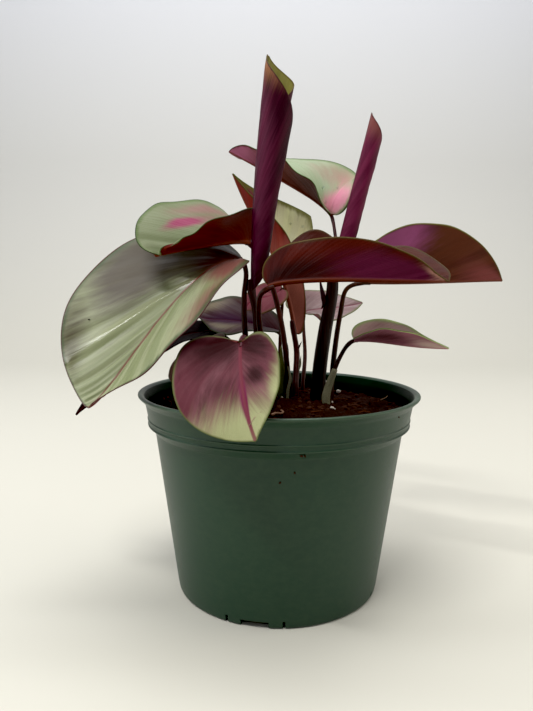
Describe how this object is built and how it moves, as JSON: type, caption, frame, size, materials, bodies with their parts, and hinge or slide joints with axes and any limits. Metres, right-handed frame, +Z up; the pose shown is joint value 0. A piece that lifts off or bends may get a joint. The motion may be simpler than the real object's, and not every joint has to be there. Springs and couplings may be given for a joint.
{
  "type": "potted prayer plant",
  "caption": "Potted silver plate calathea: folded, open and rolled oval leaves on thin stalks, standing in soil in a green moulded nursery pot with a banded rim.",
  "frame": {"origin": "middle of the pot's underside, on the pot's axis", "axes": "+Z up along the pot's axis, +X to the right and +Y away when the plant is seen from its front"},
  "size_m": [0.2339, 0.1703, 0.2771],
  "materials": {
    "pot_plastic": "satin moulded",
    "potting_soil": "damp and crumbly",
    "leaf_silver": "satin with glossy streaks",
    "leaf_maroon": "satin"
  },
  "bodies": {
    "root": {"pot": "pot_plastic", "soil": "potting_soil", "leaf_left_large": "leaf_silver", "leaf_left_upper": "leaf_silver", "leaf_rolled_tall": "leaf_maroon", "leaf_rolled_right": "leaf_maroon", "leaf_back_top": "leaf_silver", "leaf_front_folded": "leaf_maroon", "leaf_right_folded": "leaf_maroon", "leaf_front_heart": "leaf_silver", "leaf_middle_purple": "leaf_maroon", "leaf_low_left": "leaf_maroon", "leaf_back_upright": "leaf_silver", "leaf_back_small": "leaf_silver", "leaf_right_small": "leaf_maroon", "leaf_left_hidden": "leaf_maroon", "leaf_middle_small": "leaf_silver"}
  },
  "joints": []
}
